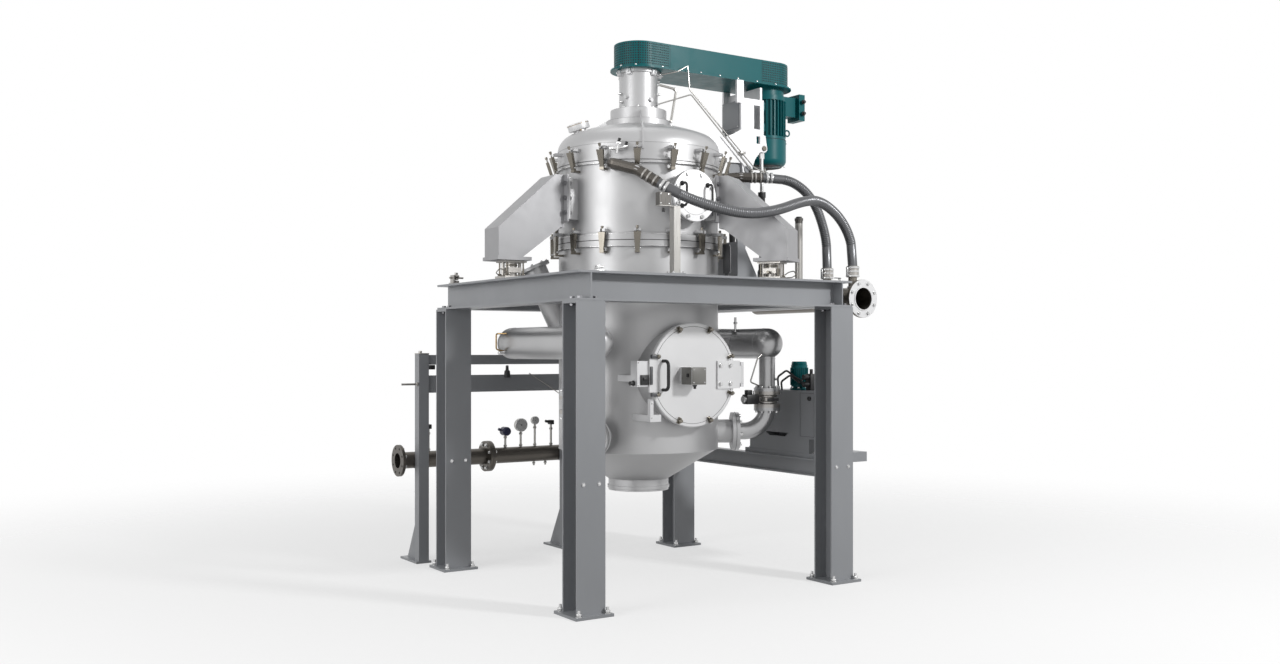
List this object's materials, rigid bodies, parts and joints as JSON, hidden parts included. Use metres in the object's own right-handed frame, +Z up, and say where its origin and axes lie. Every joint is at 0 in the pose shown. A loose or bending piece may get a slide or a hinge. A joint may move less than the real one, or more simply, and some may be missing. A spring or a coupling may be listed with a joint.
{
  "type": "loop jet mill",
  "caption": "Fluidised bed jet mill with tilting classifier head, belt drive, air headers, latched vessel and door, on a steel frame.",
  "frame": {"origin": "on the floor, centre of the rectangle of the outermost anchor holes, under the axis of the vessel", "axes": "+X to the right along the front, +Y to the back, +Z up; the front with the door faces -Y"},
  "size_m": [2.775, 2.6465, 3.787],
  "materials": {
    "grey_paint": "satin grey paint",
    "satin_steel": "bead blasted stainless steel",
    "pipe_steel": "satin stainless steel",
    "plate_aluminium": "milled plate",
    "latch_steel": "polished stainless steel",
    "bolt_steel": "bright",
    "dark_steel": "black",
    "teal_paint": "semi gloss teal paint",
    "black_plastic": "matt",
    "belt_rubber": "matt",
    "hose_rubber": "dark spiral hose"
  },
  "bodies": {
    "mill": {"column_front_left": "grey_paint", "column_front_right": "grey_paint", "column_rear_left": "grey_paint", "column_rear_right": "grey_paint", "table_frame": "grey_paint", "frame_bolts": "bolt_steel", "grinding_chamber": "satin_steel", "classifier_housing": "satin_steel", "support_arm_left": "grey_paint", "support_arm_front": "grey_paint", "support_arm_rear": "grey_paint", "load_cells": "pipe_steel", "upper_latches": "latch_steel", "lower_latches": "latch_steel", "port_cover": "satin_steel", "port_bolts": "bolt_steel", "port_handles": "black_plastic", "door_hinge": "latch_steel", "door_interlock": "latch_steel", "air_header_left": "satin_steel", "air_header_right": "satin_steel", "air_valves": "pipe_steel", "air_pipe_left": "pipe_steel", "air_pipe_right": "pipe_steel", "air_pipe_rear": "pipe_steel", "grinding_nozzles": "bolt_steel", "purge_manifold": "pipe_steel", "hose_front": "hose_rubber", "hose_rear": "hose_rubber", "hose_couplings": "pipe_steel", "sensor_posts": "pipe_steel", "feed_chute": "satin_steel", "supply_stand": "pipe_steel", "supply_pipe": "pipe_steel", "supply_gauges": "pipe_steel", "power_unit_shelf": "grey_paint", "power_unit_tank": "grey_paint", "power_unit_motor": "teal_paint", "hinge_pedestal": "grey_paint", "lift_feet": "grey_paint"},
    "head": {"dome_lid": "satin_steel", "bearing_housing": "satin_steel", "belt_guard": "teal_paint", "guard_base": "teal_paint", "drive_belt": "belt_rubber", "motor_bracket": "plate_aluminium", "junction_box": "grey_paint", "drive_motor": "teal_paint", "fan_cowl": "teal_paint", "terminal_box": "teal_paint"},
    "rotor": {"classifier_wheel": "bolt_steel", "rotor_shaft": "bolt_steel", "driven_pulley": "dark_steel"},
    "motor_rotor": {"motor_shaft": "bolt_steel", "motor_pulley": "dark_steel"},
    "door": {"chamber_door": "satin_steel", "door_handle": "black_plastic", "door_clamps": "latch_steel"},
    "lift_barrel": {"lift_barrels": "dark_steel"},
    "lift_rod": {"lift_rods": "bolt_steel"}
  },
  "joints": [
    {"name": "head_tilt", "type": "hinge", "parent": "mill", "child": "head", "pos_m": [0.824, 0, 2.945], "axis": [0, 1, 0], "range_deg": [0, 60]},
    {"name": "rotor_spin", "type": "hinge", "parent": "head", "child": "rotor", "pos_m": [0, 0, 2.745], "axis": [0, 0, 1], "continuous": true},
    {"name": "motor_spin", "type": "hinge", "parent": "head", "child": "motor_rotor", "pos_m": [1.16, 0, 3.6], "axis": [0, 0, 1], "continuous": true},
    {"name": "door_swing", "type": "hinge", "parent": "mill", "child": "door", "pos_m": [0.402, -0.678, 1.44], "axis": [0, 0, 1], "range_deg": [0, 110]},
    {"name": "lift_lean", "type": "hinge", "parent": "mill", "child": "lift_barrel", "pos_m": [0.99, 0, 2.19], "axis": [0, 1, 0], "range_deg": [0, 5.35]},
    {"name": "lift_stroke", "type": "slide", "parent": "lift_barrel", "child": "lift_rod", "axis": [-0.0097, 0, 1], "range_m": [-0.21825, 0]}
  ],
  "couplings": [
    {"joint": "motor_spin", "follows": "rotor_spin", "ratio": 1.2222},
    {"joint": "lift_lean", "follows": "head_tilt", "ratio": 0.089006},
    {"joint": "lift_stroke", "follows": "head_tilt", "m_per_rad": -0.20822}
  ]
}
